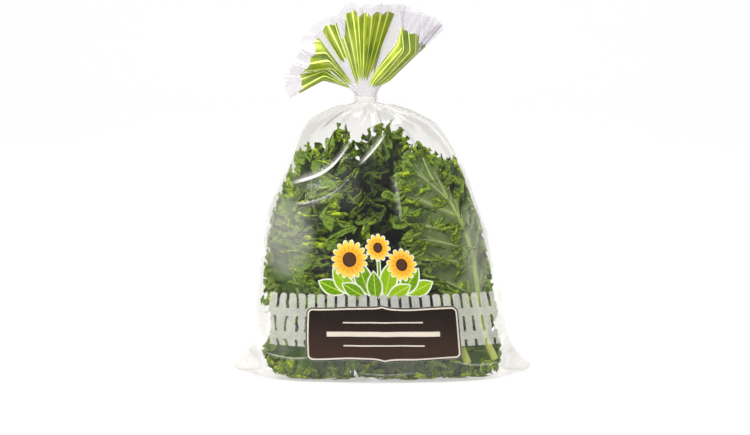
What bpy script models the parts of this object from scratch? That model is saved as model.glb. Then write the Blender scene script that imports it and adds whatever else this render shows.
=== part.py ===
"""Curly kale in a clear film bag, gathered and banded at the neck.

The bag stands on its flattened base, +Z up, with its front towards -Y. The origin is the
bottom centre of the whole object. Lengths in the tables are millimetres; MM turns them
into metres.
"""

import math

import bpy
import numpy as np

MM = 0.001

# ---- driving dimensions -------------------------------------------------------------
NECK_X = -16.0            # the gathered neck sits a little left of the base's middle
NECK_LOW, NECK_HIGH = 262.6, 268.4
NECK_A, NECK_B = 10.6, 9.0
FILM_WALL = 0.8           # stands for the real 0.04 mm film
BAND_GAP, BAND_WALL, BAND_HEIGHT = 0.4, 0.9, 4.6
SECTION_POWER = 2.3       # superellipse power of the bag's sections
BLADE_THICKNESS = 1.8
LEAF_WAVE = 2.2           # how far a blade's edge waves out of its own sheet

# height, middle x, half width without the ears, half depth, ear length
BAG = [
    (0.0, 0.0, 110.0, 43.0, 0.0),
    (3.5, 0.0, 119.0, 49.5, 15.0),
    (9.0, 0.0, 123.0, 53.0, 19.0),
    (21.0, -1.0, 124.0, 56.0, 8.0),
    (37.0, -1.8, 123.6, 58.0, 2.0),
    (64.6, -3.1, 121.0, 59.6, 0.0),
    (93.0, -4.5, 116.0, 60.0, 0.0),
    (120.6, -5.9, 110.9, 59.0, 0.0),
    (149.0, -7.3, 104.7, 56.0, 0.0),
    (172.0, -8.4, 96.5, 52.0, 0.0),
    (196.6, -7.2, 86.0, 46.0, 0.0),
    (219.5, -8.4, 76.0, 38.5, 0.0),
    (239.0, -11.0, 62.0, 29.0, 0.0),
    (251.0, -14.0, 41.0, 20.0, 0.0),
    (258.5, -15.6, 20.0, 13.0, 0.0),
]

# The flared mouth: direction round the neck in degrees, how far the film leans up from
# level, and how far along itself it reaches.
MOUTH = [
    (0, 42, 88), (16, 60, 86), (30, 50, 87), (47, 74, 84), (62, 58, 86), (80, 78, 86),
    (97, 84, 86.5), (112, 70, 86), (128, 80, 84), (145, 52, 84), (160, 62, 78),
    (176, 14, 71), (192, 26, 74), (207, 60, 80), (222, 50, 84), (238, 76, 84),
    (253, 64, 86), (268, 80, 85), (285, 70, 86), (301, 79, 84), (317, 50, 86),
    (333, 68, 84), (347, 46, 86),
]

# name, layer from the front film (-1) to the back film (+1), stem radius, share of the
# length that is bare stem, half widths left and right of the midrib, midrib points (x, z)
# from the cut end to the tip, and the side whose underside carries the midrib's ridge:
# +1 ridge towards the back, -1 ridge towards the front.
LEAVES = [
    ("kale_leaf_01", -0.88, 3.0, 0.24, 41, 24, -1,
     [(99, 20), (94, 70), (83, 120), (64, 160), (42, 194), (18, 220)]),
    ("kale_leaf_02", -0.68, 3.4, 0.20, 36, 37, 1,
     [(76, 19), (66, 62), (48, 106), (32, 148), (19, 182), (9, 210)]),
    ("kale_leaf_03", -0.88, 3.2, 0.14, 34, 34, 1,
     [(-36, 16), (-42, 70), (-54, 120), (-64, 158), (-67, 184), (-64, 204)]),
    ("kale_leaf_04", -0.49, 3.2, 0.14, 18, 38, 1,
     [(-48, 14), (-70, 58), (-85, 104), (-89, 145), (-82, 178)]),
    ("kale_leaf_05", -0.30, 3.6, 0.14, 28, 34, 1,
     [(-20, 10), (-28, 76), (-38, 138), (-43, 188), (-36, 232)]),
    ("kale_leaf_06", -0.10, 3.6, 0.14, 36, 36, 1,
     [(15, 10), (20, 78), (22, 138), (15, 188), (6, 235)]),
    ("kale_leaf_07", -0.49, 3.2, 0.16, 38, 22, 1,
     [(58, 12), (78, 60), (86, 110), (80, 155), (68, 190), (58, 208)]),
    ("kale_leaf_08", -0.68, 2.6, 0.16, 17, 22, 1,
     [(-14, 44), (-44, 37), (-76, 31), (-106, 28)]),
    ("kale_leaf_09", -0.88, 2.4, 0.16, 15, 17, 1,
     [(78, 38), (50, 30), (22, 26), (-10, 25)]),
    ("kale_leaf_10", -0.30, 2.6, 0.16, 18, 18, 1,
     [(28, 42), (56, 34), (84, 30), (108, 28)]),
    ("kale_leaf_11", 0.10, 3.4, 0.14, 36, 15, -1,
     [(66, 12), (87, 58), (91, 106), (83, 152), (63, 194)]),
    ("kale_leaf_12", 0.30, 3.4, 0.14, 15, 36, -1,
     [(-70, 12), (-92, 56), (-97, 104), (-89, 150), (-67, 194)]),
    ("kale_leaf_13", 0.49, 3.4, 0.14, 40, 40, -1,
     [(0, 12), (4, 75), (-4, 135), (-12, 185), (-16, 226)]),
    ("kale_leaf_14", 0.68, 3.2, 0.16, 38, 30, -1,
     [(66, 16), (72, 70), (70, 124), (58, 168), (42, 204)]),
    ("kale_leaf_15", 0.68, 3.2, 0.16, 30, 39, -1,
     [(-58, 16), (-70, 70), (-74, 120), (-66, 163), (-48, 204)]),
    ("kale_leaf_16", 0.88, 3.2, 0.18, 42, 42, -1,
     [(12, 16), (8, 70), (1, 124), (-7, 168), (-12, 202)]),
    ("kale_leaf_17", 0.88, 2.4, 0.16, 17, 17, -1,
     [(-14, 40), (-44, 34), (-76, 30), (-102, 28)]),
    ("kale_leaf_18", 0.88, 2.4, 0.16, 17, 17, -1,
     [(26, 38), (52, 33), (78, 30), (102, 28)]),
]


def remove_everything():
    for obj in list(bpy.data.objects):
        bpy.data.objects.remove(obj, do_unlink=True)


def material(name, colour, roughness, alpha=1.0):
    made = bpy.data.materials.new(name)
    made.use_nodes = True
    shader = made.node_tree.nodes["Principled BSDF"]
    shader.inputs["Base Color"].default_value = (*colour, 1.0)
    shader.inputs["Roughness"].default_value = roughness
    shader.inputs["Metallic"].default_value = 0.0
    shader.inputs["Alpha"].default_value = alpha
    return made


def smooth_through(points, at):
    """A Catmull-Rom curve through points, read at 0..1."""
    points = np.array(points, float)
    last = len(points) - 1
    out = []
    for t in at:
        u = min(max(t, 0.0), 1.0) * last
        i = min(int(u), last - 1)
        f = u - i
        p1, p2 = points[i], points[i + 1]
        p0 = points[i - 1] if i > 0 else 2 * p1 - p2
        p3 = points[i + 2] if i + 2 <= last else 2 * p2 - p1
        out.append(0.5 * (2 * p1 + (p2 - p0) * f + (2 * p0 - 5 * p1 + 4 * p2 - p3) * f * f
                          + (3 * p1 - p0 - 3 * p2 + p3) * f ** 3))
    return np.array(out)


TABLE = np.array(BAG)


def bag_at(z):
    """Middle x, half width and half depth of the bag at a height."""
    return [float(np.interp(z, TABLE[:, 0], TABLE[:, k])) for k in (1, 2, 3)]


def half_depth(x, z):
    """How deep the bag's inside is in front of and behind its middle plane at x, z."""
    middle, a, b = bag_at(z)
    share = min(abs(x - middle) / (a - FILM_WALL), 0.97)
    return (b - FILM_WALL) * (1 - share ** SECTION_POWER) ** (1 / SECTION_POWER)


def lofted(name, rings, mat, tip=(0.0, 0.0, 0.0)):
    """One closed solid through rings of equal length; each end closes on a middle point,
    the last one moved by tip."""
    count = len(rings[0])
    points = [tuple(c * MM for c in p) for ring in rings for p in ring]
    faces = []
    for i in range(len(rings) - 1):
        for j in range(count):
            k = (j + 1) % count
            faces.append((i * count + j, i * count + k, (i + 1) * count + k, (i + 1) * count + j))
    for ring, start, turn in ((rings[0], 0, True), (rings[-1], (len(rings) - 1) * count, False)):
        middle = (np.mean(np.array(ring), axis=0) + (0 if turn else np.array(tip))) * MM
        points.append(tuple(middle))
        hub = len(points) - 1
        for j in range(count):
            k = (j + 1) % count
            faces.append((start + k, start + j, hub) if turn else (start + j, start + k, hub))
    mesh = bpy.data.meshes.new(name)
    mesh.from_pydata(points, [], faces)
    mesh.validate()
    mesh.update()
    mesh.shade_smooth()
    mesh.set_sharp_from_angle(angle=math.radians(50))
    mesh.materials.append(mat)
    obj = bpy.data.objects.new(name, mesh)
    bpy.context.scene.collection.objects.link(obj)
    return obj


# ---- the leaves ---------------------------------------------------------------------
ACROSS = (-1.0, -0.72, -0.36, 0.0, 0.36, 0.72, 1.0)


def leaf(spec, index, mat):
    """A leaf is one piece: a round stem that runs into the midrib of a wavy blade."""
    name, layer, stem, bare, left, right, ridge, route = spec
    stations = [0.0, bare * 0.5, bare * 0.9] + list(bare + (1 - bare) * np.array(
        [0.05, 0.13, 0.22, 0.32, 0.43, 0.54, 0.65, 0.76, 0.87, 0.95, 1.0]))
    line = smooth_through(route, stations)
    ahead = smooth_through(route, [s + 0.01 for s in stations])
    behind = smooth_through(route, [s - 0.01 for s in stations])
    rings = []
    for s, (x0, z0), p, q in zip(stations, line, behind, ahead):
        along = (q - p) / np.linalg.norm(q - p)
        side = np.array([along[1], -along[0]])
        t = (s - bare) / (1 - bare)
        ring = []
        if t <= 0:  # bare stem, a little thicker at its cut end
            r = stem * (1.12 - 0.2 * s / bare)
            y0 = layer * half_depth(x0, z0)
            for i in range(12):
                turn = math.pi - i * math.pi / 6
                off = side * (r * math.cos(turn))
                ring.append((x0 + off[0], y0 - r * math.sin(turn), z0 + off[1]))
        else:
            outline = math.sin(math.pi * min(t * 0.92 + 0.06, 1.0)) ** 0.62
            lobes = 1 + 0.10 * math.sin(t * 21 + index)
            thick = BLADE_THICKNESS * (0.55 + 0.45 * outline)
            rib = stem * (1 - t) ** 1.1
            upper, lower = [], []
            for v in ACROSS:
                width = (left if v < 0 else right) * outline * lobes
                off = side * (v * max(width, 2.5))
                x, z = x0 + off[0], z0 + off[1]
                middle, a, _ = bag_at(z)
                x = min(max(x, middle - 0.9 * a), middle + 0.9 * a)
                depth = half_depth(x, z)
                wave = LEAF_WAVE * depth / 59 * abs(v) ** 1.5 * math.sin(t * 24 + 2.1 * v + index * 1.7)
                y = layer * depth + wave
                core = max(0.0, 1 - abs(v) / 0.3)
                front = thick / 2 + (rib * core if ridge < 0 else 0)
                back = thick / 2 + (rib * core if ridge > 0 else 0)
                if abs(v) == 1:
                    front = back = 0.0
                upper.append((x, y - front, z))
                lower.append((x, y + back, z))
            ring = upper + lower[-2:0:-1]
        rings.append(ring)
    return lofted(name, rings, mat, tip=(1.5 * along[0], 0.0, 1.5 * along[1]))


# ---- the bag ------------------------------------------------------------------------
def ring_angles():
    """Angles round the bag, close together at the two sides where the ears come out."""
    quarter = [0.0, 2.0, 9.0, 18.0, 28.0, 39.0, 51.0, 64.0, 77.0]
    whole = quarter + [90.0] + [180 - a for a in reversed(quarter[1:])]
    return [math.radians(a) for a in whole + [180.0] + [360 - a for a in reversed(whole[1:])]]


ANGLES = ring_angles()


def power(value, exponent):
    return math.copysign(abs(value) ** exponent, value)


def section(z, middle, a, b, ear=0.0):
    ring = []
    for angle in ANGLES:
        x = a * power(math.cos(angle), 2 / SECTION_POWER)
        y = b * power(math.sin(angle), 2 / SECTION_POWER)
        if ear and abs(math.sin(angle)) < 1e-6:
            x = math.copysign(abs(x) + ear, x)
        ring.append((middle + x, y, z))
    return ring


def mouth_at(angle):
    """Lean and reach of the flared film in a direction round the neck."""
    table = np.array(MOUTH + [(360 + MOUTH[0][0], *MOUTH[0][1:])], float)
    degrees = math.degrees(angle) % 360
    return [float(np.interp(degrees, table[:, 0], table[:, k])) for k in (1, 2)]


def mouth_section(share, inner):
    """A ring of the flared film, share of the way from the neck to its edge."""
    ring = []
    for angle in ANGLES:
        lean, reach = mouth_at(angle)
        far = reach * share
        settled = min(far / 30.0, 1.0)
        lean = 78 + (lean - 78) * settled
        if inner:
            lean = min(lean + math.degrees(1.5 / max(far, 6.0)), 91.0)
        fade = math.exp(-far / 14.0)
        start = (NECK_A - (5.2 if inner else 0.0)) * fade
        start_y = (NECK_B - (4.4 if inner else 0.0)) * fade
        rise, out = math.sin(math.radians(lean)) * far, math.cos(math.radians(lean)) * far
        if inner:
            out = max(out, 0.8)
        ring.append((NECK_X + (start + out) * math.cos(angle),
                     (start_y + out) * math.sin(angle),
                     NECK_HIGH + 2.0 + rise))
    return ring


def bag(mat):
    """The film: flat base, seal corners, body, gathered neck and flared mouth, with the
    inside open to the mouth through the middle of the gathers."""
    outer = [section(*row) for row in BAG]
    outer.append(section(NECK_LOW - 0.6, NECK_X, NECK_A, NECK_B))
    outer.append(section(NECK_HIGH + 0.6, NECK_X, NECK_A, NECK_B))
    shares = (0.09, 0.22, 0.42, 0.70, 1.0)
    outer += [mouth_section(share, False) for share in shares]
    inner = [mouth_section(share, True) for share in reversed(shares)]
    inner.append(section(NECK_HIGH, NECK_X, NECK_A - 5.4, NECK_B - 4.6))
    inner.append(section(NECK_LOW - 1.5, NECK_X, NECK_A - 5.4, NECK_B - 4.6))
    for z, middle, a, b, _ in reversed(BAG):
        wall = float(np.interp(z, [0, 200, 240, 252, 259], [FILM_WALL, FILM_WALL, 1.6, 3.2, 5.0]))
        drop = float(np.interp(z, [0, 200, 240, 259], [0, 0, 1.2, 2.4]))
        inner.append(section(z + FILM_WALL if z == 0 else z - drop, middle, a - wall, b - wall))
    return lofted("bag_film", outer + inner, mat)


def band(mat):
    """The clear band that holds the gathers: a closed ring, clear of the film all round."""
    low = (NECK_LOW + NECK_HIGH - BAND_HEIGHT) / 2
    steps = 28
    points, faces = [], []
    for i in range(steps):
        angle = 2 * math.pi * i / steps
        for grow, z in ((BAND_GAP, low), (BAND_GAP + BAND_WALL, low),
                        (BAND_GAP + BAND_WALL, low + BAND_HEIGHT), (BAND_GAP, low + BAND_HEIGHT)):
            x = (NECK_A + grow) * power(math.cos(angle), 2 / SECTION_POWER)
            y = (NECK_B + grow) * power(math.sin(angle), 2 / SECTION_POWER)
            points.append(((NECK_X + x) * MM, y * MM, z * MM))
    for i in range(steps):
        j = (i + 1) % steps
        for k in range(4):
            n = (k + 1) % 4
            faces.append((i * 4 + k, j * 4 + k, j * 4 + n, i * 4 + n))
    mesh = bpy.data.meshes.new("neck_band")
    mesh.from_pydata(points, [], faces)
    mesh.update()
    mesh.shade_smooth()
    mesh.set_sharp_from_angle(angle=math.radians(40))
    mesh.materials.append(mat)
    obj = bpy.data.objects.new("neck_band", mesh)
    bpy.context.scene.collection.objects.link(obj)
    return obj


def main():
    remove_everything()
    film = material("clear_film", (0.90, 0.90, 0.89), 0.15, 0.25)
    clear = material("clear_band", (0.90, 0.91, 0.90), 0.25, 0.6)
    green = material("kale", (0.10, 0.24, 0.04), 0.55)
    for index, spec in enumerate(LEAVES):
        leaf(spec, index, green)
    bag(film)
    band(clear)


main()
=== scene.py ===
import math

import bpy
import numpy as np
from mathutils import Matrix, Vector


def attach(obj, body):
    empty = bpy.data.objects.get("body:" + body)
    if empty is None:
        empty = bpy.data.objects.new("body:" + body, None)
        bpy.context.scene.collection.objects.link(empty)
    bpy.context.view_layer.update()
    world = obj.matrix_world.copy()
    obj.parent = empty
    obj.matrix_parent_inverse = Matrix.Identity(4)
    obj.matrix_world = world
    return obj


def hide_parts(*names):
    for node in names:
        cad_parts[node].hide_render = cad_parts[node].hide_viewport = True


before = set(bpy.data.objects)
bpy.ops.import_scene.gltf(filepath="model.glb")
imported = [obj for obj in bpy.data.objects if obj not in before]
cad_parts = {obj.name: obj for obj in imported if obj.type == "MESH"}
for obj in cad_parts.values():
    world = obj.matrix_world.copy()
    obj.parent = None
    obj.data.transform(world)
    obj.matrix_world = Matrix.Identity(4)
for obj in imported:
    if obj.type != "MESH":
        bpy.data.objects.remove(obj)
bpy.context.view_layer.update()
MM = 0.001

# ======================================================================================
# The layout, repeated from the construction script (millimetres)
# ======================================================================================
NECK_X = -16.0
NECK_LOW, NECK_HIGH = 262.6, 268.4
NECK_A, NECK_B = 10.6, 9.0
BAND_HEIGHT = 4.6
POWER = 2.3
BAG = np.array([
    (0.0, 0.0, 110.0, 43.0, 0.0), (3.5, 0.0, 119.0, 49.5, 15.0), (9.0, 0.0, 123.0, 53.0, 19.0),
    (21.0, -1.0, 124.0, 56.0, 8.0), (37.0, -1.8, 123.6, 58.0, 2.0), (64.6, -3.1, 121.0, 59.6, 0.0),
    (93.0, -4.5, 116.0, 60.0, 0.0), (120.6, -5.9, 110.9, 59.0, 0.0), (149.0, -7.3, 104.7, 56.0, 0.0),
    (172.0, -8.4, 96.5, 52.0, 0.0), (196.6, -7.2, 86.0, 46.0, 0.0), (219.5, -8.4, 76.0, 38.5, 0.0),
    (239.0, -11.0, 62.0, 29.0, 0.0), (251.0, -14.0, 41.0, 20.0, 0.0), (258.5, -15.6, 20.0, 13.0, 0.0),
    (262.0, -16.0, NECK_A, NECK_B, 0.0)])

# name, layer, stem radius, bare share, half widths left and right, side of the ridge,
# midrib route, and the look: columns along the edge, the midrib's own layer, how far the
# left and right halves fold outwards, how far their edges roll on, and how strongly it curls
LEAVES = [
    ("01", -0.88, 3.2, 0.20, 58, 22, -1, [(106, 20), (94, 52), (84, 118), (68, 160), (46, 192), (34, 220)],
     (990, -0.84, (4, -14), (88, 30), 1.0)),
    ("02", -0.90, 3.4, 0.10, 26, 36, 1, [(80, 18), (68, 50), (51, 102), (36, 144), (24, 178), (16, 208)],
     (780, -0.42, (44, 40), (46, 42), 1.0)),
    ("03", -0.60, 3.2, 0.03, 52, 52, 1, [(-36, 16), (-42, 70), (-54, 120), (-64, 158), (-67, 192), (-58, 222)],
     (990, -0.48, (54, 56), (56, 56), 1.0)),
    ("04", -0.49, 3.2, 0.03, 34, 46, 1, [(-48, 14), (-70, 58), (-85, 104), (-88, 148), (-78, 188)],
     (700, -0.44, (30, 46), (40, 48), 1.0)),
    ("05", -0.30, 3.6, 0.03, 26, 36, 1, [(-20, 10), (-28, 76), (-39, 138), (-46, 188), (-38, 240)],
     (660, -0.26, (30, 34), (50, 54), 1.0)),
    ("06", -0.10, 3.6, 0.03, 42, 42, 1, [(15, 10), (20, 78), (22, 138), (15, 188), (6, 241)],
     (660, -0.06, (32, 32), (35, 35), 1.0)),
    ("07", -0.49, 3.2, 0.03, 40, 34, 1, [(58, 12), (78, 60), (86, 110), (80, 155), (68, 190), (58, 208)],
     (660, -0.36, (30, 24), (40, 30), 1.0)),
    ("08", -0.60, 2.6, 0.06, 40, 36, 1, [(-4, 40), (-40, 34), (-74, 29), (-113, 27)],
     (540, -0.70, (14, 20), (16, 20), 1.0)),
    ("09", -0.62, 2.4, 0.06, 34, 34, 1, [(66, 34), (40, 27), (10, 23), (-32, 24)],
     (510, -0.66, (14, 22), (16, 20), 1.0)),
    ("10", -0.30, 2.6, 0.06, 38, 36, 1, [(26, 36), (56, 30), (84, 27), (117, 27)],
     (500, -0.46, (16, 18), (20, 20), 1.0)),
    ("11", 0.10, 3.4, 0.05, 36, 60, 1, [(66, 12), (90, 58), (96, 106), (88, 152), (66, 200)],
     (600, -0.24, (16, 76), (25, 22), 1.0)),
    ("12", 0.30, 3.4, 0.05, 60, 36, 1, [(-70, 12), (-96, 56), (-101, 104), (-92, 150), (-68, 196)],
     (600, -0.24, (76, 16), (22, 25), 1.0)),
    ("13", 0.49, 3.4, 0.05, 44, 44, -1, [(0, 12), (4, 75), (-2, 135), (-8, 188), (-4, 238)],
     (340, 0.30, (30, 30), (30, 30), 1.0)),
    ("14", 0.68, 3.2, 0.05, 44, 38, -1, [(66, 16), (72, 70), (70, 124), (56, 170), (34, 216)],
     (640, 0.44, (50, 40), (52, 50), 1.0)),
    ("15", 0.68, 3.2, 0.05, 36, 46, -1, [(-58, 16), (-70, 70), (-74, 120), (-62, 168), (-34, 222)],
     (640, 0.44, (40, 52), (50, 50), 1.0)),
    ("16", 0.88, 3.2, 0.10, 46, 46, -1, [(12, 16), (8, 70), (1, 124), (-8, 172), (-14, 224)],
     (760, 0.50, (50, 46), (54, 52), 1.0)),
    ("17", 0.88, 2.4, 0.06, 38, 40, -1, [(-2, 36), (-40, 33), (-76, 29), (-108, 27)],
     (430, 0.70, (14, 14), (18, 18), 1.0)),
    ("18", 0.88, 2.4, 0.06, 38, 40, -1, [(-8, 35), (34, 32), (72, 29), (106, 27)],
     (430, 0.70, (14, 14), (18, 18), 1.0)),
]
# how near the film the frills of some leaves come, so the ones in front of them stay visible
NEAREST = {"07": 0.72, "06": 0.60, "05": 0.84, "02": 0.90, "10": 0.84}


# ======================================================================================
# Numbers
# ======================================================================================
def smooth_table(table, steps=900):
    """A monotone cubic through each column of a table, read at its first column."""
    x = table[:, 0]
    grid = np.linspace(x[0], x[-1], steps)
    h = np.diff(x)
    columns = [grid]
    for c in range(1, table.shape[1]):
        y = table[:, c]
        d = np.diff(y) / h
        m = np.zeros(len(y))
        m[1:-1] = np.where(d[:-1] * d[1:] > 0, 2 * d[:-1] * d[1:] / (d[:-1] + d[1:] + 1e-12), 0)
        m[0], m[-1] = d[0], d[-1]
        i = np.clip(np.searchsorted(x, grid) - 1, 0, len(h) - 1)
        t = (grid - x[i]) / h[i]
        columns.append((2 * t ** 3 - 3 * t ** 2 + 1) * y[i] + (t ** 3 - 2 * t ** 2 + t) * h[i] * m[i]
                       + (-2 * t ** 3 + 3 * t ** 2) * y[i + 1] + (t ** 3 - t ** 2) * h[i] * m[i + 1])
    return np.array(columns)


SMOOTH = smooth_table(BAG)


def bag_at(z):
    """Middle x, half width, half depth and ear length of the bag at heights."""
    return [np.interp(z, SMOOTH[0], SMOOTH[k]) for k in (1, 2, 3, 4)]


def half_depth(x, z):
    middle, a, b, _ = bag_at(z)
    share = np.minimum(np.abs(x - middle) / (a - 0.8), 0.985)
    return (b - 0.8) * (1 - share ** POWER) ** (1 / POWER)


def through(points, t):
    """A Catmull-Rom curve through points at 0..1."""
    pts = np.asarray(points, float)
    last = len(pts) - 1
    u = np.clip(np.atleast_1d(t), 0, 1) * last
    i = np.minimum(u.astype(int), last - 1)
    f = (u - i)[:, None]
    p1, p2 = pts[i], pts[i + 1]
    p0 = np.where((i > 0)[:, None], pts[np.maximum(i - 1, 0)], 2 * p1 - p2)
    p3 = np.where((i + 2 <= last)[:, None], pts[np.minimum(i + 2, last)], 2 * p2 - p1)
    return 0.5 * (2 * p1 + (p2 - p0) * f + (2 * p0 - 5 * p1 + 4 * p2 - p3) * f * f
                  + (3 * p1 - p0 - 3 * p2 + p3) * f ** 3)


def step(lo, hi, x):
    t = np.clip((x - lo) / (hi - lo), 0, 1)
    return t * t * (3 - 2 * t)


def unit(v):
    return v / np.maximum(np.linalg.norm(v, axis=-1, keepdims=True), 1e-9)


def wobble(x, period, rng, terms=5):
    """A smooth irregular wave of about -1..1 along x."""
    out = 0
    for _ in range(terms):
        out = out + rng.uniform(0.5, 1.0) * np.sin(
            2 * math.pi * x / (period * rng.uniform(0.6, 1.7)) + rng.uniform(0, 6.28))
    return out / (0.62 * terms)


def bumps(x, z, period, rng, terms=9):
    """A smooth irregular field of about -1..1 over a plane."""
    out = 0
    for _ in range(terms):
        a = rng.uniform(0, math.pi)
        k = 2 * math.pi / (period * rng.uniform(0.7, 1.5))
        out = out + np.sin(k * (x * math.cos(a) + z * math.sin(a)) + rng.uniform(0, 6.28))
    return out / math.sqrt(terms)


# ======================================================================================
# Meshes
# ======================================================================================
class Parts:
    """Collects vertices (mm), faces and point values, and makes one object of them."""

    def __init__(self):
        self.points, self.quads, self.values, self.count = [], [], {}, 0

    def add(self, points, quads, **values):
        points = np.asarray(points, float).reshape(-1, 3)
        self.points.append(points)
        self.quads.append(np.asarray(quads, np.int64).reshape(-1, 4) + self.count)
        for name, value in values.items():
            value = np.asarray(value, float)
            if value.ndim == 1:
                value = np.tile(value, (len(points), 1))
            self.values.setdefault(name, []).append(value)
        self.count += len(points)

    def make(self, name, material, smooth=True):
        points = np.concatenate(self.points) * MM
        quads = np.concatenate(self.quads)
        triangle = quads[:, 3] == quads[:, 2]
        sizes = np.where(triangle, 3, 4)
        keep = np.ones(quads.shape, bool)
        keep[triangle, 3] = False
        loops = quads[keep]
        mesh = bpy.data.meshes.new(name)
        mesh.vertices.add(len(points))
        mesh.vertices.foreach_set("co", points.astype(np.float32).ravel())
        mesh.loops.add(len(loops))
        mesh.loops.foreach_set("vertex_index", loops.astype(np.int32))
        mesh.polygons.add(len(quads))
        mesh.polygons.foreach_set("loop_start", np.concatenate([[0], np.cumsum(sizes)[:-1]]).astype(np.int32))
        mesh.polygons.foreach_set("loop_total", sizes.astype(np.int32))
        mesh.update(calc_edges=True)
        mesh.validate()
        if smooth:
            mesh.shade_smooth()
        for key, value in self.values.items():
            made = mesh.attributes.new(key, "FLOAT_VECTOR", "POINT")
            made.data.foreach_set("vector", np.concatenate(value).astype(np.float32).ravel())
        mesh.materials.append(material)
        obj = bpy.data.objects.new(name, mesh)
        bpy.context.scene.collection.objects.link(obj)
        return obj


def grid_quads(rows, columns, wrap=False):
    across = columns if wrap else columns - 1
    i, j = np.meshgrid(np.arange(rows - 1), np.arange(across), indexing="ij")
    k = (j + 1) % columns
    return np.stack([i * columns + j, i * columns + k, (i + 1) * columns + k, (i + 1) * columns + j], -1).reshape(-1, 4)


def thicken(points, normals, quads, thickness):
    """A closed solid from an open sheet: both faces and the rim between them."""
    n = len(points)
    half = normals * (thickness[:, None] / 2)
    top, bottom = points + half, points - half
    ends = np.concatenate([quads[:, [0, 1]], quads[:, [1, 2]], quads[:, [2, 3]], quads[:, [3, 0]]])
    ends = ends[ends[:, 0] != ends[:, 1]]
    key = np.sort(ends, axis=1)
    _, index, counts = np.unique(key, axis=0, return_inverse=True, return_counts=True)
    rim = ends[counts[index.reshape(-1)] == 1]
    side = np.stack([rim[:, 1], rim[:, 0], rim[:, 0] + n, rim[:, 1] + n], -1)
    turned = quads[:, ::-1] + n
    return np.concatenate([top, bottom]), np.concatenate([quads, turned, side])


def tube(path, radii, sides, flat=None):
    """A closed round rod along a path; flat squeezes it along a direction."""
    path = np.asarray(path, float)
    ahead = unit(np.gradient(path, axis=0))
    ref = np.array([0.0, 1.0, 0.0])
    a = unit(np.cross(ahead, ref))
    b = np.cross(ahead, a)
    turn = np.linspace(0, 2 * math.pi, sides, endpoint=False)
    squeeze = 1.0 if flat is None else flat
    ring = (a[:, None, :] * np.cos(turn)[None, :, None] + b[:, None, :] * (np.sin(turn) * squeeze)[None, :, None])
    points = path[:, None, :] + ring * np.asarray(radii)[:, None, None]
    rows = len(path)
    quads = grid_quads(rows, sides, wrap=True)
    points = points.reshape(-1, 3)
    hubs = np.stack([path[0] - ahead[0] * radii[0] * 0.12, path[-1] + ahead[-1] * radii[-1] * 0.5])
    first = [(j, (j + 1) % sides) for j in range(sides)]
    base = rows * sides
    caps = [(k, j, base, base) for j, k in first]
    last = (rows - 1) * sides
    caps += [(last + j, last + k, base + 1, base + 1) for j, k in first]
    return np.concatenate([points, hubs]), np.concatenate([quads, np.array(caps)])


# ======================================================================================
# Kale leaves
# ======================================================================================
def keep_inside(points, depth_limit=0.955, side_limit=0.955):
    """Presses what would pass the film flat against its inside."""
    x, y, z = points[..., 0], points[..., 1], points[..., 2]
    z = np.where(z < 8, 2.2 + 5.8 * np.exp(np.minimum(z - 8, 0) / 5.8), z)
    z = np.minimum(z, 250)
    middle, a, b, _ = bag_at(z)
    u = (x - middle) / a
    knee = 0.84
    over = np.abs(u) > knee
    u = np.where(over, np.sign(u) * (knee + (side_limit - knee) * np.tanh((np.abs(u) - knee) / (side_limit - knee))), u)
    x = middle + u * a
    depth = (b - 0.8) * (1 - np.minimum(np.abs(u), 0.985) ** POWER) ** (1 / POWER)
    q = y / depth
    knee = 0.50
    over = np.abs(q) > knee
    q = np.where(over, np.sign(q) * (knee + (depth_limit - knee) * np.tanh((np.abs(q) - knee) / (depth_limit - knee))), q)
    return np.stack([x, q * depth, z], -1)


def nearness(points):
    """0 in the middle of the bag to 1 at its film."""
    middle, a, b, _ = bag_at(np.clip(points[..., 2], 0, 258))
    u = np.abs(points[..., 0] - middle) / a
    q = np.abs(points[..., 1]) / b
    near = np.minimum((u ** POWER + q ** POWER) ** (1 / POWER), 1.0)
    # near the top every point counts as near the film, so the painted shade stays off the top of the kale
    return np.maximum(near, 0.92 * step(186, 226, points[..., 2]))


def sheet_normals(s):
    along, out = np.gradient(s, axis=1), np.gradient(s, axis=0)
    n = np.cross(along, out)
    n[0] = n[1]
    n = unit(n)
    n[0] = unit(n[0] + n[0][::-1])
    return n, unit(along), unit(out)


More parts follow.
